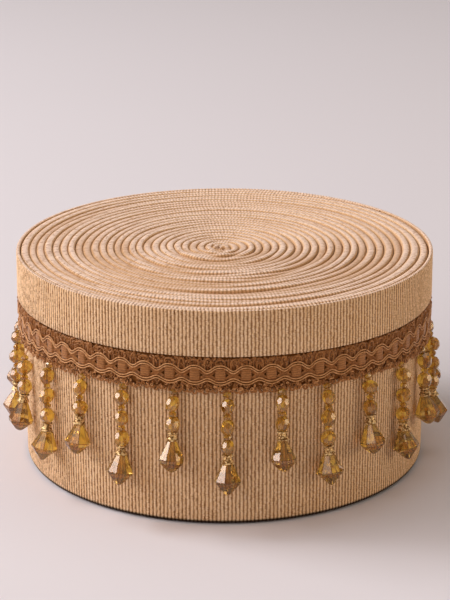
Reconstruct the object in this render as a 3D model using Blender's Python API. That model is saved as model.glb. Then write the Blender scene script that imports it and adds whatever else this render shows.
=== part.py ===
"""A roll of beaded fringe. Ribbed tape is wound on itself and stands on its lower edge. Around the
outermost turn run a plain band, a gimp braid and a heading strip, which carries 26 strands of glass
beads that end in drops.

Metres, +Z up. The origin is on the roll's axis, on the surface that it stands on. The front faces -Y,
and an angle of 0 is the front and grows towards +X.
"""

import math

import bmesh
import bpy
from mathutils import Matrix, Vector

CLEARANCE = 0.0003

# The wound roll
ROLL_HEIGHT = 0.122
ROLL_RADIUS = 0.1155
TURN_PITCH = 0.0044
TURN_GROOVE = 0.0022
TURNS = 25.5
TAPER_TURNS = 0.25
FINE_TURNS = 17
EYE_SHIFT = Vector((-0.003, -0.005))
FOOT_CHAMFER = 0.0012
SHARP_EDGE = math.radians(35)

# What is sewn around it, by height above the floor and distance from the roll's axis
SEWN_INNER = ROLL_RADIUS + CLEARANCE
BAND_FOOT = 0.095
BAND_RADIUS = 0.118
BAND_ROUNDING = 0.0011
GIMP_TOP = BAND_FOOT - CLEARANCE
GIMP_FOOT = 0.0793
GIMP_GROUND = 0.1163
GIMP_OVALS = 55
HEADING_TOP = GIMP_FOOT - CLEARANCE
HEADING_FOOT = 0.0757
HEADING_RADIUS = 0.1172
HEADING_ROUNDING = 0.0004

# Relief of the gimp from its foot to its top: share of the height, height of the relief, and whether
# only the ovals have it
GIMP_ROWS = (
    {"share": 0.00, "relief": 0.0000, "in_ovals": False},
    {"share": 0.06, "relief": 0.0007, "in_ovals": False},
    {"share": 0.20, "relief": 0.0012, "in_ovals": True},
    {"share": 0.40, "relief": 0.0015, "in_ovals": True},
    {"share": 0.60, "relief": 0.0012, "in_ovals": True},
    {"share": 0.72, "relief": 0.0000, "in_ovals": False},
    {"share": 0.84, "relief": 0.0010, "in_ovals": False},
    {"share": 1.00, "relief": 0.0000, "in_ovals": False},
)
GIMP_STEPS = 3 * GIMP_OVALS

# The strands. A thread starts inside the heading strip, at its root, and dips into the first seed bead.
STRANDS = 26
STRAND_PHASE = math.radians(0.75)
ROLL_SIDES = 2 * STRANDS
GLASS_SIDES = 6
THREAD_SIDES = 4
THREAD_RADIUS = 0.0006
THREAD_ROOT = 0.0014
THREAD_DIP = 0.0034
NECK_RADIUS = 0.0009
SEED_RADIUS = 0.0016
BEAD_RADIUS = 0.0035
CAP_RADIUS = 0.0029

# Each bead's rings, as a share of its length from its top and a radius. A bead ends in the next one's
# first ring, and the drops end in a tip.
BEADS = {
    "seed": {"length": 0.0034, "rings": ((0.0, NECK_RADIUS), (0.5, SEED_RADIUS))},
    "bead": {
        "length": 0.0074,
        "rings": ((0.0, NECK_RADIUS), (0.31, BEAD_RADIUS), (0.69, BEAD_RADIUS)),
    },
    "cap": {
        "length": 0.0051,
        "rings": ((0.0, NECK_RADIUS), (0.30, CAP_RADIUS), (0.70, CAP_RADIUS)),
    },
    "long_drop": {
        "length": 0.0164,
        "rings": ((0.0, 0.0022), (0.28, 0.0046), (0.60, 0.0067), (1.0, 0.0004)),
    },
    "short_drop": {
        "length": 0.0162,
        "rings": ((0.0, 0.0022), (0.28, 0.0044), (0.62, 0.0061), (0.86, 0.0040), (1.0, 0.0006)),
    },
}

# A strand starts this far below the heading strip. Its lean is a depth below the strip and how far from
# the roll's axis the strand hangs there, because its beads and its drop rest against the wall.
LONG_STRAND = {
    "start": 0.0014,
    "beads": ("seed", "bead", "seed", "bead", "seed", "bead", "cap", "long_drop"),
    "lean": (
        (0.0000, 0.1166),
        (0.0030, 0.1176),
        (0.0085, 0.1192),
        (0.0340, 0.1199),
        (0.0490, 0.1220),
        (0.0560, 0.1230),
    ),
}
SHORT_STRAND = {
    "start": 0.0003,
    "beads": ("seed", "bead", "seed", "bead", "cap", "short_drop"),
    "lean": (
        (0.0000, 0.1166),
        (0.0020, 0.1176),
        (0.0074, 0.1192),
        (0.0220, 0.1197),
        (0.0370, 0.1214),
        (0.0435, 0.1220),
    ),
}

FINISHES = {
    "rep_tape": {"color": (0.60, 0.42, 0.27), "roughness": 0.85, "metallic": 0.0},
    "gimp_yarn": {"color": (0.36, 0.17, 0.07), "roughness": 0.75, "metallic": 0.0},
    "honey_glass": {"color": (0.48, 0.25, 0.07), "roughness": 0.12, "metallic": 0.0},
}


def clear_scene():
    for item in list(bpy.data.objects):
        bpy.data.objects.remove(item, do_unlink=True)


def finish(name):
    look = FINISHES[name]
    material = bpy.data.materials.new(name)
    material.use_nodes = True
    shader = material.node_tree.nodes["Principled BSDF"]
    shader.inputs["Base Color"].default_value = (*look["color"], 1.0)
    shader.inputs["Roughness"].default_value = look["roughness"]
    shader.inputs["Metallic"].default_value = look["metallic"]
    return material


def add_object(name, bm, material):
    """Makes the object that holds this mesh, and frees the mesh."""
    bmesh.ops.recalc_face_normals(bm, faces=bm.faces[:])
    mesh = bpy.data.meshes.new(name)
    bm.to_mesh(mesh)
    bm.free()
    mesh.shade_smooth()
    mesh.set_sharp_from_angle(angle=SHARP_EDGE)
    mesh.materials.append(material)
    item = bpy.data.objects.new(name, mesh)
    bpy.context.scene.collection.objects.link(item)
    return item


def around(radius, angle, height):
    return Vector((radius * math.sin(angle), -radius * math.cos(angle), height))


def side_angle(step):
    """The angle of a corner of the roll's wall, which has two flat sides to each strand, one behind it."""
    return STRAND_PHASE + (step + 0.5) * math.tau / ROLL_SIDES


def winding_point(step, radius, height):
    """A point on the winding, shifted as the turns shift on their way in to the eye."""
    shift = EYE_SHIFT * max(step, 0) / (TURNS * ROLL_SIDES)
    return around(radius, side_angle(step), height) + shift.to_3d()


def groove_point(step):
    """Where the groove outside this step of the tape lies. The first one starts at the roll's edge."""
    radius = ROLL_RADIUS - TURN_PITCH * step / ROLL_SIDES
    return winding_point(step, radius, ROLL_HEIGHT - TURN_GROOVE)


def crest_point(step):
    """The tape's rounded upper edge, between the grooves on its two sides. Steps under 0 are the
    outermost turn, which grows from nothing at the roll's edge and rises to its height as it does."""
    turns_in = step / ROLL_SIDES + 1
    width = TURN_PITCH * min(turns_in, 1)
    radius = ROLL_RADIUS - TURN_PITCH * turns_in + width / 2
    rise = min(turns_in / TAPER_TURNS, 1)
    return winding_point(step, radius, ROLL_HEIGHT - TURN_GROOVE * (1 - rise))


def winding_steps(first, last):
    """The steps of the winding from first to last. The inner turns take every second one."""
    fine = FINE_TURNS * ROLL_SIDES
    return [step for step in range(first, last + 1) if step < fine or step % 2 == 0]


def close_strip(bm, outer, inner, offset, steps):
    """Faces between two spiral rows of points. Inner point step + offset lies beside outer point step."""
    for start, end in zip(steps, steps[1:]):
        outside = [outer[step] for step in range(start, end + 1) if step in outer]
        inside = [inner[step + offset] for step in range(end, start - 1, -1) if step + offset in inner]
        corners = list(dict.fromkeys(outside + inside))
        bm.faces.new(corners)


def wound_tape():
    """The whole roll: a round wall, a flat foot, and a spiral of rounded tape edges on top."""
    bm = bmesh.new()
    last = int(TURNS * ROLL_SIDES)
    rim_height = ROLL_HEIGHT - TURN_GROOVE
    rim = [bm.verts.new(around(ROLL_RADIUS, side_angle(step), rim_height)) for step in range(ROLL_SIDES)]
    edge = {step: rim[step % ROLL_SIDES] for step in range(-ROLL_SIDES, 1)}
    groove = {0: rim[0]}
    groove.update({step: bm.verts.new(groove_point(step)) for step in winding_steps(1, last)})
    crest = {-ROLL_SIDES: rim[0]}
    crest.update({step: bm.verts.new(crest_point(step)) for step in winding_steps(1 - ROLL_SIDES, last)})

    close_strip(bm, edge, crest, 0, winding_steps(-ROLL_SIDES, 0))
    close_strip(bm, groove, crest, 0, winding_steps(0, last))
    steps = winding_steps(-ROLL_SIDES, last - ROLL_SIDES)
    close_strip(bm, crest, groove, ROLL_SIDES, [step for step in steps if step + ROLL_SIDES in groove])
    eye = [crest[step] for step in winding_steps(last - ROLL_SIDES, last)]
    bm.faces.new(eye + [groove[last]])

    wall = [bm.edges.get((rim[step - 1], rim[step])) for step in range(ROLL_SIDES)]
    for radius, height in ((ROLL_RADIUS, FOOT_CHAMFER), (ROLL_RADIUS - FOOT_CHAMFER, 0.0)):
        made = bmesh.ops.extrude_edge_only(bm, edges=wall)["geom"]
        wall = [item for item in made if isinstance(item, bmesh.types.BMEdge)]
        for vert in (item for item in made if isinstance(item, bmesh.types.BMVert)):
            vert.co = (vert.co.xy.normalized() * radius).to_3d() + Vector((0, 0, height))
    bmesh.ops.contextual_create(bm, geom=wall)
    return add_object("wound_tape", bm, finish("rep_tape"))


def ring(profile, sides, start):
    """A closed outline of (radius, height) points turned about the roll's axis."""
    bm = bmesh.new()
    verts = [bm.verts.new(around(radius, start, height)) for radius, height in profile]
    edges = [bm.edges.new((verts[i - 1], verts[i])) for i in range(len(verts))]
    bmesh.ops.spin(bm, geom=verts + edges, axis=(0, 0, 1), steps=sides, angle=math.tau, use_merge=True)
    return bm


def outer_band():
    """The plain top of the outermost turn: ribbed tape with a rounded upper edge."""
    crest = (SEWN_INNER + BAND_RADIUS) / 2
    profile = (
        (SEWN_INNER, BAND_FOOT),
        (BAND_RADIUS, BAND_FOOT),
        (BAND_RADIUS, ROLL_HEIGHT - BAND_ROUNDING),
        (crest + BAND_ROUNDING / 2, ROLL_HEIGHT),
        (crest - BAND_ROUNDING / 2, ROLL_HEIGHT),
        (SEWN_INNER, ROLL_HEIGHT - BAND_ROUNDING),
    )
    return add_object("outer_band", ring(profile, ROLL_SIDES, side_angle(0)), finish("rep_tape"))


def gimp_braid():
    """The braid under the band. Of each three steps around, two are a raised oval and one is the gap
    between ovals. A low welt runs below them and another above."""
    height = GIMP_TOP - GIMP_FOOT
    face = [(GIMP_GROUND, GIMP_FOOT + row["share"] * height) for row in GIMP_ROWS]
    bm = ring(face + [(SEWN_INNER, GIMP_TOP), (SEWN_INNER, GIMP_FOOT)], GIMP_STEPS, 0.0)
    for vert in bm.verts:
        radius = vert.co.xy.length
        if radius < (SEWN_INNER + GIMP_GROUND) / 2:
            continue
        share = (vert.co.z - GIMP_FOOT) / height
        row = min(GIMP_ROWS, key=lambda entry: abs(entry["share"] - share))
        step = round(math.atan2(vert.co.x, -vert.co.y) / math.tau * GIMP_STEPS)
        if step % 3 or not row["in_ovals"]:
            vert.co.xy *= (GIMP_GROUND + row["relief"]) / radius
    return add_object("gimp_braid", bm, finish("gimp_yarn"))


def lean_at(lean, depth):
    """How far from the roll's axis a strand hangs at this depth: its beads rest against the wall."""
    for (top, near), (foot, far) in zip(lean, lean[1:]):
        if depth <= foot:
            return near + (far - near) * max(depth - top, 0.0) / (foot - top)
    return lean[-1][1]


def strand_mesh(strand):
    """One strand's beads as a single turned body, standing where the strand at angle pi would hang."""
    rings = []
    depth = strand["start"]
    for name in strand["beads"]:
        bead = BEADS[name]
        rings += [(depth + share * bead["length"], radius) for share, radius in bead["rings"]]
        depth += bead["length"]
    bm = bmesh.new()
    verts = [bm.verts.new((radius, 0.0, HEADING_FOOT - drop)) for drop, radius in rings]
    edges = [bm.edges.new(pair) for pair in zip(verts, verts[1:])]
    bmesh.ops.spin(bm, geom=verts + edges, axis=(0, 0, 1), steps=GLASS_SIDES, angle=math.tau, use_merge=True)
    bmesh.ops.holes_fill(bm, edges=bm.edges[:], sides=GLASS_SIDES)
    for vert in bm.verts:
        vert.co.y += lean_at(strand["lean"], HEADING_FOOT - vert.co.z)
    return bm


def thread_mesh(strand):
    """The thread from inside the heading strip down into the first seed bead."""
    bm = bmesh.new()
    length = THREAD_ROOT + THREAD_DIP
    bmesh.ops.create_cone(
        bm, cap_ends=True, segments=THREAD_SIDES, radius1=THREAD_RADIUS, radius2=THREAD_RADIUS, depth=length
    )
    for vert in bm.verts:
        vert.co.z += HEADING_FOOT + THREAD_ROOT - length / 2
        vert.co.y += lean_at(strand["lean"], HEADING_FOOT - vert.co.z)
    return bm


def hang_all(name, make, material):
    """A hidden operand that holds a copy of the long or the short shape at every strand's place."""
    joined = bmesh.new()
    for index in range(STRANDS):
        bm = make(SHORT_STRAND if index % 2 else LONG_STRAND)
        angle = STRAND_PHASE + index * math.tau / STRANDS
        bm.transform(Matrix.Rotation(angle + math.pi, 4, "Z"))
        mesh = bpy.data.meshes.new("one_strand")
        bm.to_mesh(mesh)
        bm.free()
        joined.from_mesh(mesh)
        bpy.data.meshes.remove(mesh)
    item = add_object(name, joined, material)
    item.hide_render = True
    item.display_type = "WIRE"
    return item


def bead_fringe():
    """The looped heading strip with the strands' threads fused into it, and the beads on the threads."""
    glass = finish("honey_glass")
    profile = (
        (SEWN_INNER, HEADING_FOOT),
        (HEADING_RADIUS - HEADING_ROUNDING, HEADING_FOOT),
        (HEADING_RADIUS, HEADING_FOOT + HEADING_ROUNDING),
        (HEADING_RADIUS, HEADING_TOP - HEADING_ROUNDING),
        (HEADING_RADIUS - HEADING_ROUNDING, HEADING_TOP),
        (SEWN_INNER, HEADING_TOP),
    )
    fringe = add_object("bead_fringe", ring(profile, ROLL_SIDES, side_angle(0)), glass)
    for name, make in (("threads", thread_mesh), ("beads", strand_mesh)):
        union = fringe.modifiers.new(name, "BOOLEAN")
        union.operation = "UNION"
        union.solver = "EXACT"
        union.object = hang_all(name, make, glass)
    return fringe


def main():
    clear_scene()
    wound_tape()
    outer_band()
    gimp_braid()
    bead_fringe()


main()
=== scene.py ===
"""The looks of a roll of beaded fringe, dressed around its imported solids.

The ribbed tape is a real spiral of cloth that stands on its lower edge. Around its outermost turn run a
plain band, a gimp braid of wavy cords, woven pads and loops, and strands of faceted glass.
Metres, +Z up. The front faces -Y, and an angle of 0 is the front and grows towards +X.
"""

import math
import random

import bmesh
import bpy
from mathutils import Matrix, Vector, noise


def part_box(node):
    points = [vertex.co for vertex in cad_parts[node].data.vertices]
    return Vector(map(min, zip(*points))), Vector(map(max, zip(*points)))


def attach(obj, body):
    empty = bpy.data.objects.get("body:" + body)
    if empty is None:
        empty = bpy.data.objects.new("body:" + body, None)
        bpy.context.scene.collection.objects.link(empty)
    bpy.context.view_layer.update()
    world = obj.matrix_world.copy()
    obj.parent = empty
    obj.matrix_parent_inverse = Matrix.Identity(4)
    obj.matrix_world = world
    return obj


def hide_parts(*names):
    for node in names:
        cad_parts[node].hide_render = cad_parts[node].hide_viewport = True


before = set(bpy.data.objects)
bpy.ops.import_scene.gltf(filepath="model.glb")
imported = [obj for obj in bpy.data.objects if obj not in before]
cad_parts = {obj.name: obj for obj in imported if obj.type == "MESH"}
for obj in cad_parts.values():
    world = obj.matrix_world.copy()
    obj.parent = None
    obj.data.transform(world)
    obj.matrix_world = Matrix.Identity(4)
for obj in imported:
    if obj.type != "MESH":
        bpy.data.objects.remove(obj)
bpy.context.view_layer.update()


def reach(node):
    """How far this node of the model reaches from the roll's axis."""
    return max(vert.co.xy.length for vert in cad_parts[node].data.vertices)


MM = 0.001

# The roll, from the frame. The trims sit a little higher around it than their solids.
ROLL_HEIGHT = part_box("wound_tape")[1].z
WALL_RADIUS = reach("wound_tape")
TRIM_LIFT = 1.2 * MM
BAND_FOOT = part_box("outer_band")[0].z + TRIM_LIFT
BAND_RADIUS = reach("outer_band")
HEADING_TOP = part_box("bead_fringe")[1].z
HEADING_HEIGHT = 3.3 * MM
HEADING_FOOT = HEADING_TOP - HEADING_HEIGHT + TRIM_LIFT

# The tape and how it is wound, counted in turns from its outer end at the back
TURN_PITCH = 4.4 * MM
TURNS = 26.0
TAPE_START = -0.15
CROSSING = 0.15
EVEN_TURNS = 8
TURN_GAP = 0.1 * MM
THINNEST = 0.05 * MM
EYE_SHIFT = Vector((-3.0, -5.0)) * MM
EDGE_ROUND = 1.25 * MM
EDGE_STEPS = 6
EDGE_FULLNESS = 0.88
FOOT_ROUND = 2.4 * MM
RIB_PITCH = 2.05 * MM
BAND_RIB_PITCH = 1.98 * MM
RIB_RISE = 0.38 * MM
RIB_FULLNESS = 0.9
TURN_WANDER = 0.8 * MM
TURN_LIFT = 1.7 * MM

# The trims around the wall: the band's foot is a little higher at the front and back, and the fringe sags
# at both sides
BAND_RISE = 0.4 * MM
FRINGE_SAG = 4.5 * MM

# The gimp: places around it are counted in ovals from the front, and depths below the band's foot and
# heights out from its ground in millimetres
GIMP_OVALS = 55
GIMP_PHASE = -0.16
GIMP_GROUND = WALL_RADIUS + 1.0 * MM
OVALS_PER_MM = GIMP_OVALS / (math.tau * GIMP_GROUND / MM)
GROUND_PROFILE = ((-0.7, 18.8), (-0.4, 18.8), (-0.25, 18.2), (-0.25, 0.9), (-0.4, 0.3), (-0.7, 0.3))
UPPER_WAVE = {"middle": 6.7, "swing": -1.5}
LOWER_WAVE = {"middle": 13.4, "swing": 1.1}
WAVE_APART = 0.66
WAVE_STEPS = 14
PAD_MIDDLE = 9.9
PAD_HALF_HEIGHT = 4.2
PAD_HALF_WIDTH = 0.245
PAD_RISE = 1.4
PAD_WEAVE = (6.4, 8.0)
PAD_FACES = 10
CROSSING_MIDDLE = 10.1
CROSSING_SLANT = 2.3
CROSSING_REACH = 0.22
CROSSING_THREADS = (-0.13, -0.065, 0.0, 0.065, 0.13)

# Loops and knots above and below each pad and each gap: how wide the arch is, where its feet and those of
# the loops behind it are, and where the lower cords pass
AT_PAD = {"arch": (2.0, 2.6), "arch_feet": 4.6, "backing_feet": 4.8, "lower_cords": 16.0}
AT_GAP = {"arch": (1.4, 1.8), "arch_feet": 7.2, "backing_feet": 7.0, "lower_cords": 14.4}
BACKING_LOOPS = (-0.2, -0.07, 0.07, 0.2)
KNOT_SPREAD = 0.25
KNOT_FOOT = 19.4
KNOTS = 9
# knots set further out in the lighter cord yarn, a painted highlight on the knotted yarn
HIGHLIT_KNOTS = 3
PICOTS = 5 * GIMP_OVALS

# The strands: where each starts below the heading, its beads in order, and how far from the roll's axis it
# hangs at each depth, in millimetres. The rings of a cut drop are shares of its length, with their radii.
STRANDS = 26
STRAND_PHASE = math.radians(0.75)
LONG_STRAND = {
    "start": -0.6,
    "beads": ("seed", "bead", "seed", "bead", "seed", "bead", "rondelle", "long_drop"),
    "lean": ((0, 117.4), (3, 119.4), (8.5, 120.0), (34, 120.4), (49, 123.1), (56, 124.2)),
}
SHORT_STRAND = {
    "start": -0.9,
    "beads": ("seed", "bead", "seed", "bead", "rondelle", "short_drop"),
    "lean": ((0, 117.4), (2, 119.2), (7.4, 120.0), (22, 120.3), (37, 122.6), (43.5, 123.4)),
}
THREAD_DEPTHS = (-1.2, 0.0, 1.5, 4.0, 8.0, 14.0, 20.0, 26.0)
DROP_LENGTH = 17.0
BEAD_LENGTHS = {
    "seed": 3.2,
    "bead": 8.3,
    "rondelle": 4.5,
    "long_drop": DROP_LENGTH,
    "short_drop": DROP_LENGTH,
}
LONG_CUT = ((0.0, 2.8), (0.03, 3.2), (0.56, 7.3), (0.61, 7.1), (0.96, 1.6), (1.0, 0.7))
SHORT_CUT = ((0.0, 2.2), (0.03, 2.6), (0.60, 7.0), (0.72, 6.5), (0.94, 2.8), (1.0, 1.2))
DROP_FACETS = 8
EDGE_STRIP = 0.35
LARGE_FACET = 3.0

# Single strands, by their number from the front: how far they are moved around, in degrees, how much lower
# they hang, in millimetres, and how many degrees their drops are turned from the window
STRAND_SHIFT = {2: -1.2, 3: -1.8, 4: -1.6, 5: -1.6, 22: 0.8, 23: 0.6}
STRAND_SLACK = {20: -5.0, 21: 4.0}
DROP_TURNS = {0: 32, 1: 29, 2: 5, 3: 12, 4: 5, 5: 0, 21: 0, 22: 0, 23: 8, 24: 33}
OTHER_DROP_TURN = 19
DROP_LEAN = 4

# The photograph: its size and the place of the roll's middle, in pixels, and how the camera looks at it
PHOTO_WIDTH = 450
PHOTO_HEIGHT = 600
ROLL_MIDDLE_X = 224.6
ROLL_MIDDLE_Y = 343.7
FOCAL_LENGTH = 1915
SENSOR = 36
LOOKS_DOWN = math.radians(20.1)
DISTANCE = 1.111
TO_WINDOW = Vector((-0.57, -0.62, 0.54))

# Colours of the cloth, of the yarns from light to dark, and of the glass from dark to bright, which the glass
# takes by the light and shade painted on its facets
RIBS = ((0.82, 0.53, 0.28), (0.91, 0.65, 0.40))
DARKER_RIB = (0.72, 0.42, 0.19)
# painted sheen, paler and pinker, on the tape's rounded top edge
SHEEN_EDGE = (0.90, 0.70, 0.58)
# painted shade in the small dents where the weft crosses the ribs
WEFT_NICK_SHADE = (0.38, 0.165, 0.045)
# painted shade in the grooves between the ribs
GROOVE_SHADE = (0.19, 0.065, 0.012)
# painted glints: pale specks on the ribs' fibres
FIBRE_GLINT = (0.96, 0.75, 0.54)
# painted shade in the gaps between the turns
SHADE_BETWEEN_TURNS = (0.54, 0.30, 0.135)
# painted shadow at the foot of the tape
FOOT_SHADOW = (0.02, 0.008, 0.003)
GROUND_BROWN = ((0.31, 0.116, 0.029), (0.16, 0.055, 0.012))
# a darker copy of the loop yarn, painted shade for the loops behind the arches
SHADED_LOOP_BROWN = ((0.35, 0.132, 0.034), (0.17, 0.056, 0.012))
LOOP_BROWN = ((0.45, 0.18, 0.048), (0.21, 0.074, 0.017))
CORD_BROWN = ((0.74, 0.39, 0.165), (0.40, 0.165, 0.050))
PAD_BROWN = ((0.42, 0.166, 0.046), (0.20, 0.070, 0.017))
HONEY = ((0.42, 0.20, 0.055), (0.80, 0.52, 0.19), (0.92, 0.58, 0.12))
AMBER = ((0.34, 0.155, 0.03), (0.76, 0.48, 0.13), (0.93, 0.60, 0.13))
# painted shade along the edges of the glass facets
GLASS_EDGE_SHADE = (0.20, 0.085, 0.03)
GOLD = ((0.28, 0.135, 0.035), (0.98, 0.74, 0.38))
FLOOR = ((0.705, 0.67, 0.69), (0.735, 0.70, 0.72))

# The lights: place, size, power and colour
LIGHTS = {
    "window": ((-2.22, 0.72, 2.24), (1.25, 1.25), 54, (0.96, 0.96, 1.0)),
    "softbox": ((-1.75, -1.69, 1.46), (2.0, 1.8), 20, (1.0, 0.90, 0.86)),
    "left_glow": ((-2.47, -0.1, 1.4), (1.5, 1.0), 31, (1.0, 0.92, 0.95)),
    "overhead": ((0.5, 0.6, 3.2), (2.0, 2.0), 12, (0.98, 0.98, 1.0)),
    "fill": ((2.4, -0.5, 0.5), (1.5, 0.9), 15, (1.0, 0.79, 0.57)),
}
LIT_PLACE = Vector((0, 0, 0.06))


# Small helpers


def around(radius, angle, height):
    return Vector((radius * math.sin(angle), -radius * math.cos(angle), height))


def signed_power(value, power):
    """The power of a value with its sign kept, for rounded outlines."""
    return math.copysign(abs(value) ** power, value)


def smooth(share):
    share = min(max(share, 0.0), 1.0)
    return share * share * (3 - 2 * share)


def piece(name, mesh, material, node, sharp=None):
    """A finished piece in the model's own frame: it rides on the roll and stands for that node."""
    if sharp is not None:
        mesh.shade_smooth()
        mesh.set_sharp_from_angle(angle=math.radians(sharp))
    mesh.materials.clear()
    mesh.materials.append(material)
    item = bpy.data.objects.new(name, mesh)
    bpy.context.scene.collection.objects.link(item)
    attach(item, "root")
    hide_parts(node)
    return item


def mesh_of(name, bm):
    mesh = bpy.data.meshes.new(name)
    bm.to_mesh(mesh)
    bm.free()
    return mesh


# The woven tape


def turns_in(turn):
    """How many pitches the tape has moved in after this many turns. The outermost turns run level and
    cross in over a short stretch at the back, and the inner ones spiral evenly."""
    whole = math.floor(turn)
    stepped = whole + smooth((turn - whole - (1 - CROSSING)) / CROSSING)
    even = min(max(turn, 0) / EVEN_TURNS, 1)
    return max(stepped + (turn - stepped) * even, 0)


def wander(angle, turn, size):
    """A slow unevenness, alike from turn to turn, as in cloth wound by hand."""
    spot = Vector((math.sin(angle) * 1.3, math.cos(angle) * 1.3, turn * 0.55))
    return noise.noise(spot) * size


def turn_face(turn):
    """The radius of the tape's outer face here."""
    level = WALL_RADIUS - TURN_PITCH * turns_in(turn)
    inner = min(max(turn - 0.85, 0), 1)
    return level + inner * wander(turn * math.tau, turn, TURN_WANDER)


def tape_columns(start, end, per_rib):
    """Where the tape's columns stand, in turns, with their length along the tape in ribs."""
    columns = []
    turn = start
    step = RIB_PITCH / per_rib
    while turn < end:
        columns.append((turn, len(columns) / per_rib))
        turn += step / (math.tau * max(turn_face(turn), 4 * MM))
    return columns


def tape_section(height, edge, foot, face_rows):
    """The tape's cut edge as rows: share of the thickness, height, and the way its ribs swell there."""
    rows = [(0.5, 0.0, Vector((0, 0))), (0.14, foot * 0.42, Vector((0.7, -0.3)))]
    face = height - edge - foot
    rows += [(0.0, foot + face * row / face_rows, Vector((1, 0))) for row in range(face_rows)]
    for step in range(EDGE_STEPS + 1):
        swing = math.pi * step / EDGE_STEPS
        side, up = math.cos(swing), max(math.sin(swing), 0)
        across = signed_power(side, EDGE_FULLNESS)
        out = Vector((signed_power(side, 2 - EDGE_FULLNESS), up ** (2 - EDGE_FULLNESS)))
        rows.append(((1 - across) / 2, height - edge + edge * up**EDGE_FULLNESS, out.normalized()))
    rows.append((1.0, foot, Vector((-0.2, 0))))
    rows.append((0.88, foot * 0.3, Vector((-0.2, 0))))
    rows.append(rows[0])
    return rows


def back_share(share):
    """0 on the tape's ribbed face and 1 on its smoother back."""
    return smooth((share - 0.4) / 0.4)


def woven_grid(columns, rows, place, inner=False):
    """A flat woven grid, ribs along x and rows across y, marked with its weave and with a mask of painted
    shade between the turns, and then put in place.
    """
    bm = bmesh.new()
    bmesh.ops.create_grid(bm, x_segments=len(columns) - 1, y_segments=len(rows) - 1, size=0.5)
    weave = bm.loops.layers.uv.new("weave")
    across = [0.0]
    for (_, low, _), (_, high, _) in zip(rows, rows[1:]):
        across.append(across[-1] + max(abs(high - low), 0.3 * MM) / MM)
    crevice_shade = bm.verts.layers.float.new("crevice_shade")
    edge = bm.verts.layers.float.new("edge")
    back = bm.verts.layers.float.new("back")
    spots = {}
    for vert in bm.verts:
        column = round((vert.co.x + 0.5) * (len(columns) - 1))
        row = round((vert.co.y + 0.5) * (len(rows) - 1))
        spots[vert] = (column, row)
        share, _, out = rows[row]
        vert[edge] = max(out.y, 0)
        vert[back] = back_share(share)
        # Painted shade between turns: strongest down the sides, fading over the rounded top edge. The
        # outermost turn and the band get it only on their inner side.
        vert[crevice_shade] = 1 - vert[edge] if inner or share > 0.5 else 0.0
    for face in bm.faces:
        for loop in face.loops:
            column, row = spots[loop.vert]
            loop[weave].uv = (columns[column][1], across[row])
    for vert, (column, row) in spots.items():
        vert.co = place(columns[column], rows[row])
        if inner:
            # More painted shade where a turn stands lower than its section's height.
            vert[crevice_shade] += 0.7 * max(rows[row][1] - vert.co.z, 0) / MM
    bmesh.ops.remove_doubles(bm, verts=bm.verts[:], dist=0.0005 * MM)
    rim = [side for side in bm.edges if side.is_boundary]
    if rim:
        bmesh.ops.holes_fill(bm, edges=rim)
    bmesh.ops.recalc_face_normals(bm, faces=bm.faces[:])
    return bm


def rib_swell(ribs):
    """How far a rib stands out at this place along the tape: round on top, with a tight groove between."""
    return RIB_RISE * (abs(math.sin(math.pi * ribs)) ** RIB_FULLNESS - 1)


def wound(column, row):
    """Where a point of the tape lies once it is wound. The inner turns stand a little low and uneven, most of
    all at the front, and the eye lies off the middle."""
    turn, ribs = column
    share, height, out = row
    angle = math.pi + turn * math.tau
    outer = turn_face(turn)
    inner = min(turn_face(turn + 1) + TURN_GAP, outer - THINNEST)
    swell = rib_swell(ribs) * (1 - 0.5 * back_share(share))
    loose = min(max(turn, 0), 1) * height / ROLL_HEIGHT * (0.65 + 0.35 * math.cos(angle))
    lift = (wander(angle, 2.1 * turn + 40, TURN_LIFT) - 0.45 * TURN_LIFT) * loose
    radius = max(outer + (inner - outer) * share + out.x * swell, 0.2 * MM)
    shift = EYE_SHIFT * max(turn, 0) / TURNS
    return around(radius, angle, max(height + lift + out.y * swell, 0)) + shift.to_3d()


def tape_pieces(cloth):
    wall = tape_section(ROLL_HEIGHT, EDGE_ROUND, FOOT_ROUND, 8)
    turns = tape_section(ROLL_HEIGHT, EDGE_ROUND, FOOT_ROUND, 1)
    for name, start, end, per_rib, rows in (
        ("tape_outer_turn", TAPE_START, 1.0, 8, wall),
        ("tape_middle_turns", 1.0, 8.0, 2, turns),
        ("tape_inner_turns", 8.0, TURNS, 2, turns),
    ):
        columns = tape_columns(start, end, per_rib)
        mesh = mesh_of(name, woven_grid(columns, rows, wound, inner=start > 0))
        item = piece(name, mesh, cloth, "wound_tape", sharp=70)


def band_piece(cloth):
    """The plain band: the same rep, closed into a ring with a rounded upper edge."""
    ribs = round(math.tau * BAND_RADIUS / BAND_RIB_PITCH)
    per_rib = 8
    thickness = BAND_RADIUS - WALL_RADIUS - 0.3 * MM
    height = ROLL_HEIGHT - BAND_FOOT
    columns = [(step / (ribs * per_rib), step / per_rib) for step in range(ribs * per_rib + 1)]

    def stand(column, row):
        turn, at = column
        share, up, out = row
        swell = rib_swell(at)
        angle = math.pi + turn * math.tau
        slack = 0.4 * MM + wander(angle, 70, 0.3 * MM)
        radius = BAND_RADIUS - thickness * share + out.x * swell + slack * (1 - up / height)
        rise = BAND_RISE * math.cos(2 * angle) * (1 - up / height)
        return around(radius, angle, BAND_FOOT + rise + up + out.y * swell)

    rows = tape_section(height, 1.1 * MM, 0.5 * MM, 6)
    mesh = mesh_of("band", woven_grid(columns, rows, stand))
    item = piece("band", mesh, cloth, "outer_band", sharp=70)


# The gimp


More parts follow.
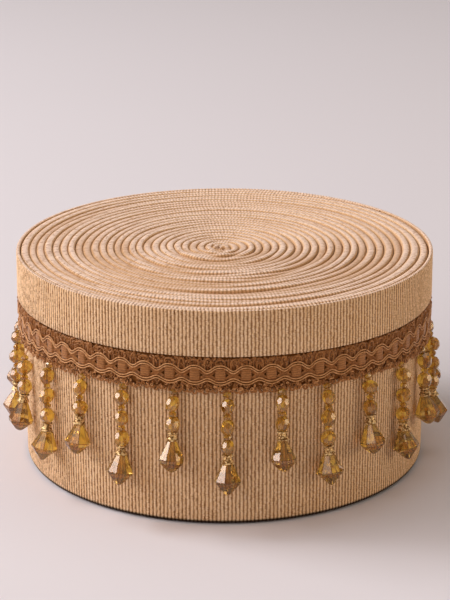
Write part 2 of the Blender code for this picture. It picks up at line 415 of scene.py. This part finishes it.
def cords(name, runs, radius, material, node, closed=False, sides=2):
    """Cords of yarn along these runs of points, as one mesh, with their radius in millimetres."""
    curve = bpy.data.curves.new(name, "CURVE")
    curve.dimensions = "3D"
    curve.bevel_depth = radius * MM
    curve.bevel_resolution = sides
    curve.use_fill_caps = True
    for run in runs:
        spline = curve.splines.new("POLY")
        spline.points.add(len(run) - 1)
        for point, place in zip(spline.points, run):
            point.co = (*place, 1.0)
        spline.use_cyclic_u = closed
        spline.use_smooth = True
    holder = bpy.data.objects.new(name + "_path", curve)
    bpy.context.scene.collection.objects.link(holder)
    bpy.context.view_layer.update()
    mesh = bpy.data.meshes.new_from_object(holder.evaluated_get(bpy.context.evaluated_depsgraph_get()))
    mesh.name = name
    bpy.data.objects.remove(holder, do_unlink=True)
    return piece(name, mesh, material, node, sharp=80)


def sag(angle):
    """How much lower the fringe hangs here."""
    return FRINGE_SAG * math.sin(angle) ** 4


def on_gimp(oval, depth, out):
    """A place on the gimp: ovals around from the front, depth below the band's foot, and out from the
    ground, both in millimetres."""
    angle = (oval + GIMP_PHASE) * math.tau / GIMP_OVALS
    foot = BAND_FOOT + BAND_RISE * math.cos(2 * angle)
    return around(GIMP_GROUND + out * MM, angle, foot - depth * MM - sag(angle) * depth / 20)


def gimp_ground(yarn):
    """The woven ground that the cords, pads and loops are worked on."""
    bm = bmesh.new()
    verts = []
    for out, depth in GROUND_PROFILE:
        verts.append(bm.verts.new((0, -(GIMP_GROUND + out * MM), BAND_FOOT - depth * MM)))
    edges = [bm.edges.new((verts[i - 1], verts[i])) for i in range(len(verts))]
    bmesh.ops.spin(
        bm, geom=verts + edges, axis=(0, 0, 1), steps=4 * GIMP_OVALS, angle=math.tau, use_merge=True
    )
    for vert in bm.verts:
        oval = math.atan2(vert.co.x, -vert.co.y) * GIMP_OVALS / math.tau
        vert.co = on_gimp(oval, (BAND_FOOT - vert.co.z) / MM, (vert.co.xy.length - GIMP_GROUND) / MM)
    bmesh.ops.recalc_face_normals(bm, faces=bm.faces[:])
    piece("gimp_ground", mesh_of("gimp_ground", bm), yarn, "gimp_braid", sharp=40)


def gimp_waves(yarn):
    """Two pairs of fine cords that swing apart around each pad and come together between pads."""
    runs = []
    for pair in (UPPER_WAVE, LOWER_WAVE):
        for apart in (-WAVE_APART, WAVE_APART):
            run = []
            for step in range(GIMP_OVALS * WAVE_STEPS):
                oval = step / WAVE_STEPS
                wave = math.cos(oval * math.tau)
                bow = wave - 0.15 * math.cos(2 * oval * math.tau) + 0.15
                depth = pair["middle"] + pair["swing"] * bow + apart
                run.append(on_gimp(oval, depth, 1.6 + 0.25 * abs(wave)))
            runs.append(run)
    cords("gimp_waves", runs, 0.34, yarn, "gimp_braid", closed=True)


def gimp_pads(yarn):
    """A plump woven pad in the middle of each oval."""
    joined = bmesh.new()
    weave = joined.loops.layers.uv.new("weave")
    for oval in range(GIMP_OVALS):
        made = bmesh.ops.create_grid(joined, x_segments=PAD_FACES, y_segments=PAD_FACES, size=0.5)["verts"]
        faces = {face for vert in made for face in vert.link_faces}
        for face in faces:
            for loop in face.loops:
                loop[weave].uv = (loop.vert.co.x * PAD_WEAVE[0] + oval * 10, loop.vert.co.y * PAD_WEAVE[1])
        for vert in made:
            x, y = vert.co.x * 2, vert.co.y * 2
            fat = max(1 - abs(x) ** 5, 0) ** 0.5 * max(1 - abs(y) ** 5, 0) ** 0.5
            waist = 1 - 0.08 * (1 - y * y)
            depth = PAD_MIDDLE + y * PAD_HALF_HEIGHT
            vert.co = on_gimp(oval + x * PAD_HALF_WIDTH * waist, depth, 0.2 + PAD_RISE * fat)
    bmesh.ops.recalc_face_normals(joined, faces=joined.faces[:])
    piece("gimp_pads", mesh_of("gimp_pads", joined), yarn, "gimp_braid", sharp=80)


def yarn_loop(middle, half, start, tip, out):
    """A loop of yarn from start to its tip and back: middle in ovals, the rest in millimetres."""
    run = []
    for step in range(11):
        swing = math.pi * step / 10
        across = -signed_power(math.cos(swing), 0.8)
        rise = math.sin(swing) ** 0.55
        place = middle + across * half * OVALS_PER_MM
        run.append(on_gimp(place, start + (tip - start) * rise, out + 0.25 * rise))
    return run


def curl(middle, depth, out, size, dice):
    """A little knot: a loose ring of yarn, turned any way."""
    turned = Matrix.Rotation(dice.uniform(-1.0, 1.0), 3, "X")
    turned = turned @ Matrix.Rotation(dice.uniform(-1.0, 1.0), 3, "Y")
    start = dice.uniform(0, math.tau)
    run = []
    for step in range(7):
        swing = start + 5.6 * step / 6
        spot = turned @ Vector((size * math.cos(swing), size * 0.8 * math.sin(swing), 0))
        run.append(on_gimp(middle + spot.x * OVALS_PER_MM, depth + spot.y, out + spot.z))
    return run


def scattered(count, middle, depths, outs, sizes, dice):
    """Knots of yarn scattered beside a middle, between these depths, heights and sizes."""
    knots = []
    for _ in range(count):
        beside = middle + dice.uniform(-KNOT_SPREAD, KNOT_SPREAD)
        knots.append(curl(beside, dice.uniform(*depths), dice.uniform(*outs), dice.uniform(*sizes), dice))
    return knots


def crossed_threads():
    """Threads that cross in the gaps between pads."""
    runs = []
    for oval in range(GIMP_OVALS):
        for slant in (-CROSSING_SLANT, CROSSING_SLANT):
            for beside in CROSSING_THREADS:
                run = []
                for share in (-1, -0.5, 0, 0.5, 1):
                    place = oval + 0.5 + share * CROSSING_REACH + beside
                    depth = CROSSING_MIDDLE + slant * share
                    run.append(on_gimp(place, depth, 0.7 + 0.3 * (1 - abs(share))))
                runs.append(run)
    return runs


def gimp_loops(highlight_yarn, yarn, shaded_yarn):
    """Standing loops above the pads, knotted yarn above and below them, crossed threads between them, and
    the small picot loops along the gimp's foot."""
    dice = random.Random(11)
    vary = dice.uniform
    arches, backing, knots, highlit_knots, picots = [], [], [], [], []
    for half in range(2 * GIMP_OVALS):
        here = AT_GAP if half % 2 else AT_PAD
        middle = half / 2 + vary(-0.03, 0.03)
        wide = vary(*here["arch"])
        arches.append(yarn_loop(middle, wide, here["arch_feet"], vary(0.8, 1.6), vary(0.7, 1.1)))
        for beside in BACKING_LOOPS:
            place = middle + beside + vary(-0.03, 0.03)
            narrow = vary(0.4, 0.8)
            backing.append(yarn_loop(place, narrow, here["backing_feet"], vary(0.5, 2.4), vary(0.3, 0.8)))
        low = here["lower_cords"]
        # Painted highlight: a few knots stand further out in the lighter cord yarn.
        highlit_knots += scattered(HIGHLIT_KNOTS, middle, (low + 0.5, KNOT_FOOT), (0.9, 1.4), (0.5, 0.9), dice)
        knots += scattered(KNOTS, middle, (low - 0.4, KNOT_FOOT), (0.4, 1.2), (0.6, 1.2), dice)
        knots += scattered(KNOTS, middle, (0.9, 4.8), (0.6, 1.3), (0.5, 1.1), dice)
    for loop in range(PICOTS):
        middle = (loop + vary(-0.3, 0.3)) * GIMP_OVALS / PICOTS
        picots.append(yarn_loop(middle, vary(0.7, 1.3), 18.0, 20.0 + vary(-0.9, 0.7), vary(0.5, 1.0)))
    cords("gimp_arches", arches, 0.5, yarn, "gimp_braid", sides=1)
    # The loops behind the arches take a darker copy of the loop yarn: painted shade behind the arches.
    cords("gimp_backing_loops", backing, 0.5, shaded_yarn, "gimp_braid", sides=0)
    cords("gimp_knots", knots, 0.4, yarn, "gimp_braid", sides=0)
    cords("gimp_highlit_knots", highlit_knots, 0.38, highlight_yarn, "gimp_braid", sides=0)
    cords("gimp_crossed_threads", crossed_threads(), 0.36, yarn, "gimp_braid", sides=0)
    cords("gimp_picots", picots, 0.5, yarn, "gimp_braid", sides=1)


# The strands


def strand_list():
    """Each strand's angle with its table."""
    for index in range(STRANDS):
        angle = STRAND_PHASE + index * math.tau / STRANDS + math.radians(STRAND_SHIFT.get(index, 0))
        yield angle, SHORT_STRAND if index % 2 else LONG_STRAND


def hang(strand, angle, depth):
    """The place and tilt of a strand at this depth below the heading."""
    lean = strand["lean"]
    for (top, near), (foot, far) in zip(lean, lean[1:]):
        if depth <= foot or foot == lean[-1][0]:
            slope = (far - near) / (foot - top)
            radius = near + slope * (max(depth, 0) - top)
            break
    tilt = math.atan(slope)
    place = Matrix.Rotation(angle + math.pi, 4, "Z")
    place @= Matrix.Translation((0, radius * MM, HEADING_FOOT - depth * MM - sag(angle)))
    return place @ Matrix.Rotation(tilt, 4, "X")


def bead_places(kind):
    """The frame of every bead of this kind, at its middle, with its strand's number."""
    for number, (angle, strand) in enumerate(strand_list()):
        depth = strand["start"] + STRAND_SLACK.get(number, 0)
        for name in strand["beads"]:
            length = BEAD_LENGTHS[name]
            if name == kind:
                yield number, hang(strand, angle, depth + length / 2)
            depth += length


def football_cut(width, length):
    """A round bead cut in five-sided and six-sided facets."""
    bm = bmesh.new()
    bmesh.ops.create_icosphere(bm, subdivisions=1, radius=0.5)
    third = bm.edges[:][0].calc_length() / 3
    bmesh.ops.bevel(
        bm, geom=bm.verts[:], offset=third, affect="VERTICES", segments=1, profile=0.5, material=-1
    )
    bmesh.ops.remove_doubles(bm, verts=bm.verts[:], dist=0.02)
    bmesh.ops.dissolve_limit(bm, angle_limit=math.radians(2), verts=bm.verts[:], edges=bm.edges[:])
    for vert in bm.verts:
        vert.co = Vector((vert.co.x * width, vert.co.y * width, vert.co.z * length)) * MM
    return bm


def seed_cut(width, length):
    """A small flattened bead, cut in eight flats."""
    bm = bmesh.new()
    bmesh.ops.create_uvsphere(bm, u_segments=8, v_segments=6, radius=0.5)
    for vert in bm.verts:
        level = max(min(vert.co.z, 0.43), -0.43)
        vert.co = Vector((vert.co.x * width, vert.co.y * width, level * length)) * MM
    return bm


def cut_drop(rings):
    """A glass drop cut in long facets, through these rings from its top down."""
    bm = bmesh.new()
    rows = []
    for share, radius in rings:
        made = bmesh.ops.create_circle(bm, cap_ends=False, segments=DROP_FACETS, radius=radius * MM)["verts"]
        bmesh.ops.translate(bm, verts=made, vec=(0, 0, (0.5 - share) * DROP_LENGTH * MM))
        rows.append(made)
    for upper, lower in zip(rows, rows[1:]):
        loops = [edge for edge in bm.edges if set(edge.verts) <= set(upper) or set(edge.verts) <= set(lower)]
        bmesh.ops.bridge_loops(bm, edges=loops)
    for row in (rows[0], rows[-1]):
        bmesh.ops.contextual_create(bm, geom=[edge for edge in bm.edges if set(edge.verts) <= set(row)])
    bmesh.ops.recalc_face_normals(bm, faces=bm.faces[:])
    return bm


def shaded_facet_edges(bm):
    """Mark a narrow strip along the edges of every large facet for a painted dark outline, and in part the
    facets that face down, which are painted darker."""
    edge_shade = bm.faces.layers.float.new("edge_shade")
    large = [face for face in bm.faces if face.calc_area() > LARGE_FACET * MM * MM]
    for face in bm.faces:
        face[edge_shade] = 0.6 if face.normal.z < -0.3 else 0.0
    for face in bmesh.ops.inset_individual(bm, faces=large, thickness=EDGE_STRIP * MM)["faces"]:
        face[edge_shade] = 1.0
    return bm


def string_beads(name, kind, shape, material, facing=None, facet_light=0.2, squeeze=0.0):
    """All the beads of one kind as one mesh, with light and shade painted on each facet. Each bead is a
    little darker or lighter at random, and each facet by a random share up to the given spread, a painted
    reflection. Facets that face up or towards the roll are painted lightest, where the light leaves the
    glass, and each bead is painted darker towards its top. Facing is how a bead turns in its place, and
    squeeze how much narrower some are."""
    dice = random.Random(kind)
    joined = bmesh.new()
    template = mesh_of("one_" + kind, shape)
    flat = max(template.polygons, key=lambda side: side.area).normal.copy()
    for number, place in bead_places(kind):
        made = bmesh.new()
        made.from_mesh(template)
        turn = facing(number, place, flat, dice) if facing else Matrix.Rotation(dice.uniform(-3, 3), 4, "Z")
        narrow = Matrix.Diagonal((1 - dice.uniform(0, squeeze), 1, 1, 1))
        made.transform(place @ narrow @ turn)
        made.normal_update()
        # Painted light and shade on the glass: random per facet, lit on facets facing up and towards the
        # roll, darker towards each bead's top.
        facet_light_layer = made.loops.layers.float.new("facet_light")
        shade = dice.uniform(-0.2, 0.05)
        inwards = -place.translation.xy.normalized()
        bright = Vector((inwards.x * 0.9 + 0.15, 0.0, 0.4))
        for face in made.faces:
            lit = shade + dice.uniform(-facet_light, facet_light) + face.normal.dot(bright)
            for loop in face.loops:
                loop[facet_light_layer] = lit - 0.03 / MM * max(loop.vert.co.z - place.translation.z, 0)
        mesh = mesh_of("strung", made)
        joined.from_mesh(mesh)
        bpy.data.meshes.remove(mesh)
    bpy.data.meshes.remove(template)
    return piece(name, mesh_of(name, joined), material, "bead_fringe")


def drop_facing(number, place, flat, dice):
    """Drops hang with a flat towards the window, or turned from it by their table, and lean on the roll."""
    lean = Matrix.Rotation(math.radians(DROP_LEAN), 4, "X")
    turned = math.radians(DROP_TURNS.get(number, OTHER_DROP_TURN) + dice.uniform(-1.5, 1.5))
    return lean @ Matrix.Rotation(turned - place.to_euler().z, 4, "Z")


def bead_facing(number, place, flat, dice):
    """A round bead sits any way on its thread, with one flat up towards the window."""
    bright = TO_WINDOW + Vector((dice.uniform(-0.05, 0.05), dice.uniform(-0.05, 0.05), 0))
    bright = (place.to_3x3().inverted() @ bright).normalized()
    about = Matrix.Rotation(dice.uniform(-math.pi, math.pi), 4, bright)
    return about @ flat.rotation_difference(bright).to_matrix().to_4x4()


def rondelle():
    """A gold cup for the drop: a cup on a ringed bell with a scalloped foot, and tiny balls on its rim."""
    bm = bmesh.new()
    profile = (
        (0.6, 2.2), (2.3, 2.2), (2.8, 1.8), (2.4, 1.2), (1.9, 0.9), (2.4, 0.6), (2.5, 0.2), (2.1, -0.1),
        (2.7, -0.6), (3.0, -1.1), (2.7, -1.4), (3.4, -1.9), (3.35, -2.3), (0.8, -2.3),
    )
    verts = [bm.verts.new((radius * MM, 0, height * MM)) for radius, height in profile]
    edges = [bm.edges.new(pair) for pair in zip(verts, verts[1:])]
    bmesh.ops.spin(bm, geom=verts + edges, axis=(0, 0, 1), steps=24, angle=math.tau, use_merge=True)
    bmesh.ops.holes_fill(bm, edges=bm.edges[:], sides=24)
    for vert in bm.verts:
        if vert.co.z < -1.5 * MM:
            vert.co.xy *= 1 + 0.07 * math.cos(8 * math.atan2(vert.co.y, vert.co.x))
    balls, ring, level = 9, 2.65 * MM, 1.95 * MM
    for ball in range(balls):
        angle = math.tau * ball / balls
        made = bmesh.ops.create_icosphere(bm, subdivisions=1, radius=0.55 * MM)["verts"]
        bmesh.ops.translate(bm, verts=made, vec=(ring * math.cos(angle), ring * math.sin(angle), level))
    bmesh.ops.recalc_face_normals(bm, faces=bm.faces[:])
    return bm


def strand_threads(yarn):
    runs = []
    for angle, strand in strand_list():
        runs.append([hang(strand, angle, depth).translation for depth in THREAD_DEPTHS])
    cords("strand_threads", runs, 0.35, yarn, "bead_fringe", sides=1)


# Materials


def new_material(name):
    material = bpy.data.materials.new(name)
    material.use_nodes = True
    tree = material.node_tree
    return material, tree, tree.nodes["Principled BSDF"]


def feed(tree, socket, value):
    """Link another node's output to this socket, or set a number or a colour directly on it."""
    if isinstance(value, bpy.types.NodeSocket):
        tree.links.new(value, socket)
    elif isinstance(value, tuple):
        socket.default_value = (*value, 1.0)
    elif value is not None:
        socket.default_value = value


def math_node(tree, operation, first, second=None):
    node = tree.nodes.new("ShaderNodeMath")
    node.operation = operation
    for socket, value in zip(node.inputs, (first, second)):
        feed(tree, socket, value)
    return node.outputs[0]


def attribute(tree, name):
    node = tree.nodes.new("ShaderNodeAttribute")
    node.attribute_name = name
    return node.outputs["Fac"]


def white_noise(tree, value):
    node = tree.nodes.new("ShaderNodeTexWhiteNoise")
    node.noise_dimensions = "1D"
    tree.links.new(value, node.inputs["W"])
    return node.outputs["Value"]


def noise_node(tree, where, scale, detail=2.0, roughness=0.5):
    node = tree.nodes.new("ShaderNodeTexNoise")
    node.inputs["Scale"].default_value = scale
    node.inputs["Detail"].default_value = detail
    node.inputs["Roughness"].default_value = roughness
    tree.links.new(where, node.inputs["Vector"])
    return node.outputs["Fac"]


def remap(tree, value, low, high, new_low=0.0, new_high=1.0):
    node = tree.nodes.new("ShaderNodeMapRange")
    node.interpolation_type = "SMOOTHSTEP"
    node.inputs["From Min"].default_value = low
    node.inputs["From Max"].default_value = high
    node.inputs["To Min"].default_value = new_low
    node.inputs["To Max"].default_value = new_high
    tree.links.new(value, node.inputs["Value"])
    return node.outputs["Result"]


def mix_color(tree, share, first, second):
    """Mix two colours. The mix node has an A and a B socket for each type, and 6 and 7 are for colours."""
    node = tree.nodes.new("ShaderNodeMix")
    node.data_type = "RGBA"
    for socket, value in ((0, share), (6, first), (7, second)):
        feed(tree, node.inputs[socket], value)
    return node.outputs[2]


def bump(tree, height, strength, distance):
    node = tree.nodes.new("ShaderNodeBump")
    node.inputs["Strength"].default_value = strength
    node.inputs["Distance"].default_value = distance
    tree.links.new(height, node.inputs["Height"])
    return node.outputs["Normal"]


def rep_cloth():
    """Ribbed cotton rep: pale ribs nicked across by the weft, a little uneven, with painted brown shade in
    its grooves, painted shade in its weft nicks, in the gaps between turns and at its foot, a painted sheen
    on its top edge and painted glints on its fibres.
    """
    material, tree, shader = new_material("rep_cloth")
    uv = tree.nodes.new("ShaderNodeUVMap")
    uv.uv_map = "weave"
    split = tree.nodes.new("ShaderNodeSeparateXYZ")
    tree.links.new(uv.outputs["UV"], split.inputs[0])
    ribs, along = split.outputs["X"], split.outputs["Y"]
    spots = tree.nodes.new("ShaderNodeTexCoord").outputs["Object"]

    rib = math_node(tree, "FLOOR", ribs)
    drift = math_node(tree, "MULTIPLY", noise_node(tree, uv.outputs["UV"], 0.45), 3.0)
    weft = math_node(tree, "DIVIDE", along, 1.4)
    weft = math_node(tree, "ADD", weft, math_node(tree, "MULTIPLY", rib, 0.377))
    weft = math_node(tree, "ADD", weft, drift)
    cell = math_node(tree, "ADD", math_node(tree, "FLOOR", weft), math_node(tree, "MULTIPLY", rib, 71.7))
    chance = white_noise(tree, cell)
    nick = math_node(tree, "SINE", math_node(tree, "MULTIPLY", math_node(tree, "FRACT", weft), math.pi))
    nick = remap(tree, nick, 0.0, 0.8, 1.0, 0.0)
    nick = math_node(tree, "MULTIPLY", nick, remap(tree, chance, 0.2, 1, 0.1, 1.0))

    ragged = math_node(tree, "SUBTRACT", noise_node(tree, uv.outputs["UV"], 1.4), 0.5)
    ragged = math_node(tree, "MULTIPLY", ragged, 0.22)
    ragged = math_node(tree, "ADD", ragged, remap(tree, chance, 0, 1, -0.08, 0.08))
    phase = math_node(tree, "FRACT", math_node(tree, "ADD", ribs, ragged))
    crest = math_node(tree, "SINE", math_node(tree, "MULTIPLY", phase, math.pi))
    groove = remap(tree, crest, 0.3, 0.95, 1.0, 0.0)

    patches = noise_node(tree, spots, 16.0, 3.0)
    fibres = noise_node(tree, spots, 900.0, 2.0, 0.7)
    edge = attribute(tree, "edge")
    rib_color = mix_color(tree, patches, *RIBS)
    own_shade = math_node(tree, "MULTIPLY", white_noise(tree, math_node(tree, "ADD", rib, 0.5)), 0.35)
    rib_color = mix_color(tree, own_shade, rib_color, DARKER_RIB)
    # Painted sheen: the tape's rounded top edge is mixed paler and pinker.
    sheened_edge = mix_color(tree, remap(tree, edge, 0.5, 0.95, 0.0, 0.85), rib_color, SHEEN_EDGE)
    # Painted shade in the weft's nicks across the ribs, which the bump also dents.
    nick_shaded = mix_color(tree, math_node(tree, "MULTIPLY", nick, 0.55), sheened_edge, WEFT_NICK_SHADE)
    # Painted shade: the grooves between ribs are darkened to a deep brown, less on the tape's top edge and on
    # its back, and most at the weft nicks.
    groove_shade_mask = math_node(tree, "MULTIPLY", groove, remap(tree, edge, 0.5, 1.0, 1.0, 0.65))
    groove_shade_mask = math_node(tree, "MULTIPLY", groove_shade_mask, remap(tree, attribute(tree, "back"), 0.0, 1.0, 1.0, 0.45))
    dotted = math_node(tree, "MULTIPLY", groove_shade_mask, remap(tree, nick, 0.0, 0.8, 0.72, 1.0))
    grooved = mix_color(tree, dotted, nick_shaded, GROOVE_SHADE)
    # Painted glints: pale specks scattered over the ribs, fewer in the painted groove shade.
    fibre_glints = remap(tree, fibres, 0.45, 0.7, 0.0, 0.5)
    fibre_glints = math_node(tree, "MULTIPLY", fibre_glints, remap(tree, groove_shade_mask, 0, 1, 1, 0.2))
    speckled = mix_color(tree, fibre_glints, grooved, FIBRE_GLINT)
    # Painted shade in the gaps between the turns of the tape.
    turn_gap_shade = remap(tree, attribute(tree, "crevice_shade"), 0.3, 1.0, 0.0, 0.6)
    turn_gap_shaded = mix_color(tree, turn_gap_shade, speckled, SHADE_BETWEEN_TURNS)
    # Painted shadow: the lowest few millimetres of the tape, where it meets the floor, turn near black.
    height_up = tree.nodes.new("ShaderNodeSeparateXYZ")
    tree.links.new(spots, height_up.inputs[0])
    foot = remap(tree, height_up.outputs["Z"], 1.9 * MM, 3.3 * MM, 1.0, 0.0)
    tree.links.new(mix_color(tree, foot, turn_gap_shaded, FOOT_SHADOW), shader.inputs["Base Color"])
    tree.links.new(remap(tree, groove_shade_mask, 0.0, 1.0, 0.28, 0.0), shader.inputs["Sheen Weight"])
    height = math_node(tree, "MULTIPLY", nick, -0.8)
    height = math_node(tree, "ADD", height, math_node(tree, "MULTIPLY", fibres, 0.6))
    tree.links.new(bump(tree, height, 0.8, 0.25 * MM), shader.inputs["Normal"])
    shader.inputs["Roughness"].default_value = 0.85
    shader.inputs["Sheen Roughness"].default_value = 0.4
    shader.inputs["Sheen Tint"].default_value = (1.0, 0.80, 0.74, 1.0)
    shader.inputs["Specular IOR Level"].default_value = 0.06
    return material


def gimp_yarn(name, colors, scale, woven=False, gloss=0.7):
    """Mercerised brown yarn, twisted or woven fine, darker between its threads."""
    light, dark = colors
    material, tree, shader = new_material(name)
    spots = tree.nodes.new("ShaderNodeTexCoord").outputs["Object"]
    fibres = noise_node(tree, spots, scale, 3.0, 0.6)
    patches = noise_node(tree, spots, 60.0, 2.0)
    share = remap(tree, fibres, 0.3, 0.7)
    height = fibres
    if woven:
        uv = tree.nodes.new("ShaderNodeUVMap")
        uv.uv_map = "weave"
        split = tree.nodes.new("ShaderNodeSeparateXYZ")
        tree.links.new(uv.outputs["UV"], split.inputs[0])
        uneven = math_node(tree, "MULTIPLY", noise_node(tree, uv.outputs["UV"], 0.6), 1.2)
        thread = math_node(tree, "ADD", math_node(tree, "DIVIDE", split.outputs["Y"], 1.25), uneven)
        thread = math_node(tree, "MULTIPLY", math_node(tree, "FRACT", thread), math.pi)
        thread = math_node(tree, "SINE", thread)
        share = remap(tree, fibres, 0.3, 0.7, 0.5, 1.0)
        share = math_node(tree, "MULTIPLY", remap(tree, thread, 0.2, 0.8), share)
        height = math_node(tree, "ADD", thread, fibres)
    mixed = mix_color(tree, share, dark, light)
    toned = mix_color(tree, math_node(tree, "MULTIPLY", patches, 0.35), mixed, dark)
    tree.links.new(toned, shader.inputs["Base Color"])
    tree.links.new(bump(tree, height, 0.5, 0.2 * MM), shader.inputs["Normal"])
    shader.inputs["Roughness"].default_value = 0.45
    shader.inputs["Specular IOR Level"].default_value = gloss
    shader.inputs["Specular Tint"].default_value = (1.0, 0.70, 0.42, 1.0)
    shader.inputs["Sheen Weight"].default_value = 0.8
    shader.inputs["Sheen Roughness"].default_value = 0.35
    shader.inputs["Sheen Tint"].default_value = (1.0, 0.70, 0.48, 1.0)
    return material


def honey_glass(name, colors, clear, coat):
    """Honey-coloured glass, from dark to clear to bright gold by the light and shade painted on each facet,
    with painted reflection streaks, a painted glow on the brightest facets and painted shade along the facet
    edges."""
    material, tree, shader = new_material(name)
    spots = tree.nodes.new("ShaderNodeTexCoord").outputs["Object"]
    # Painted reflections: streaks stretched upright through the glass, added to the painted facet light.
    stretched_spots = tree.nodes.new("ShaderNodeMapping")
    stretched_spots.inputs["Scale"].default_value = (1.0, 1.0, 0.3)
    tree.links.new(spots, stretched_spots.inputs["Vector"])
    painted_streaks = remap(tree, noise_node(tree, stretched_spots.outputs["Vector"], 420.0, 2.0), 0.3, 0.7, -0.3, 0.3)
    lift = math_node(tree, "ADD", attribute(tree, "facet_light"), painted_streaks)
    low = mix_color(tree, remap(tree, lift, -0.8, -0.2), colors[0], colors[1])
    facet = mix_color(tree, remap(tree, lift, 0.0, 0.7), low, colors[2])
    # Painted shade along the large facets' edges and on the facets that face down, with less gloss there.
    edge_shade = attribute(tree, "edge_shade")
    color = mix_color(tree, math_node(tree, "MULTIPLY", edge_shade, 0.7), facet, GLASS_EDGE_SHADE)
    tree.links.new(remap(tree, edge_shade, 0.0, 0.6, coat, 0.0), shader.inputs["Coat Weight"])
    tree.links.new(remap(tree, edge_shade, 0.0, 1.0, 0.5, 0.1), shader.inputs["Specular IOR Level"])
    tree.links.new(color, shader.inputs["Base Color"])
    # Painted glow: the brightest facets give off a little light of their own colour.
    tree.links.new(color, shader.inputs["Emission Color"])
    tree.links.new(remap(tree, lift, 0.2, 0.8, 0.0, 0.12), shader.inputs["Emission Strength"])
    tree.links.new(remap(tree, lift, 0.0, 0.7, clear, 0.5), shader.inputs["Transmission Weight"])
    shader.inputs["IOR"].default_value = 1.5
    shader.inputs["Roughness"].default_value = 0.03
    shader.inputs["Specular Tint"].default_value = (1.0, 0.8, 0.7, 1.0)
    shader.inputs["Coat Roughness"].default_value = 0.06
    shader.inputs["Coat Tint"].default_value = (1.0, 0.96, 0.72, 1.0)
    shader.inputs["Coat IOR"].default_value = 1.5
    return material


def gold_metal():
    material, tree, shader = new_material("gold_metal")
    spots = tree.nodes.new("ShaderNodeTexCoord").outputs["Object"]
    # Dark and bright gold mixed in fine specks, the bright specks a little rougher.
    gold_specks = remap(tree, noise_node(tree, spots, 750.0, 2.0), 0.4, 0.62)
    tree.links.new(mix_color(tree, gold_specks, *GOLD), shader.inputs["Base Color"])
    tree.links.new(remap(tree, gold_specks, 0.2, 0.8, 0.25, 0.45), shader.inputs["Roughness"])
    shader.inputs["Metallic"].default_value = 0.5
    return material


def plain_floor():
    material, tree, shader = new_material("plain_floor")
    spots = tree.nodes.new("ShaderNodeTexCoord").outputs["Object"]
    cloud = noise_node(tree, spots, 1.2, 2.0)
    tree.links.new(mix_color(tree, cloud, *FLOOR), shader.inputs["Base Color"])
    shader.inputs["Roughness"].default_value = 0.9
    return material


# Stage


def camera():
    """The photograph's view of the roll, a little right of its axis."""
    data = bpy.data.cameras.new("camera")
    data.lens = SENSOR * FOCAL_LENGTH / PHOTO_HEIGHT
    data.shift_x = (PHOTO_WIDTH / 2 - ROLL_MIDDLE_X) / PHOTO_HEIGHT
    data.shift_y = (ROLL_MIDDLE_Y - PHOTO_HEIGHT / 2) / PHOTO_HEIGHT
    item = bpy.data.objects.new("camera", data)
    away = Vector((0, -math.cos(LOOKS_DOWN), math.sin(LOOKS_DOWN))) * DISTANCE
    item.location = Vector((0, 0, ROLL_HEIGHT / 2)) + away
    item.rotation_euler = (math.pi / 2 - LOOKS_DOWN, 0, 0)
    bpy.context.scene.collection.objects.link(item)
    bpy.context.scene.camera = item


def soft_light(name, place, size, power, color):
    data = bpy.data.lights.new(name, "AREA")
    data.shape = "RECTANGLE"
    data.size, data.size_y = size
    data.energy = power
    data.color = color
    item = bpy.data.objects.new(name, data)
    item.location = place
    item.rotation_euler = (LIT_PLACE - Vector(place)).to_track_quat("-Z", "Y").to_euler()
    bpy.context.scene.collection.objects.link(item)


def stage():
    bm = bmesh.new()
    bmesh.ops.create_grid(bm, x_segments=1, y_segments=1, size=8)
    mesh = mesh_of("floor", bm)
    mesh.materials.append(plain_floor())
    floor = bpy.data.objects.new("floor", mesh)
    bpy.context.scene.collection.objects.link(floor)
    for name, (place, size, power, color) in LIGHTS.items():
        soft_light(name, place, size, power, color)
    world = bpy.data.worlds.new("room")
    world.use_nodes = True
    background = world.node_tree.nodes["Background"]
    background.inputs["Color"].default_value = (1.0, 0.87, 0.77, 1.0)
    background.inputs["Strength"].default_value = 0.28
    bpy.context.scene.world = world
    bpy.context.scene.view_settings.view_transform = "Standard"


camera()
stage()

cloth = rep_cloth()
tape_pieces(cloth)
band_piece(cloth)

ground_yarn = gimp_yarn("gimp_ground_yarn", GROUND_BROWN, 500.0, gloss=0.1)
shaded_loop_yarn = gimp_yarn("gimp_shaded_loop_yarn", SHADED_LOOP_BROWN, 700.0)
loop_yarn = gimp_yarn("gimp_loop_yarn", LOOP_BROWN, 700.0)
cord_yarn = gimp_yarn("gimp_cord_yarn", CORD_BROWN, 900.0)
pad_yarn = gimp_yarn("gimp_pad_yarn", PAD_BROWN, 500.0, woven=True)
gimp_ground(ground_yarn)
gimp_waves(cord_yarn)
gimp_pads(pad_yarn)
gimp_loops(cord_yarn, loop_yarn, shaded_loop_yarn)

honey = honey_glass("honey_drop_glass", HONEY, clear=0.9, coat=0.9)
amber = honey_glass("honey_bead_glass", AMBER, clear=0.8, coat=1.0)
gold = gold_metal()
strand_threads(cord_yarn)
string_beads("seed_beads", "seed", seed_cut(4.3, 3.4), amber)
string_beads("round_beads", "bead", football_cut(9.6, 11.0), amber, bead_facing, facet_light=0.4, squeeze=0.2)
string_beads("rondelles", "rondelle", rondelle(), gold)
string_beads("long_drops", "long_drop", shaded_facet_edges(cut_drop(LONG_CUT)), honey, drop_facing, facet_light=0.35)
string_beads("short_drops", "short_drop", shaded_facet_edges(cut_drop(SHORT_CUT)), honey, drop_facing, facet_light=0.35)
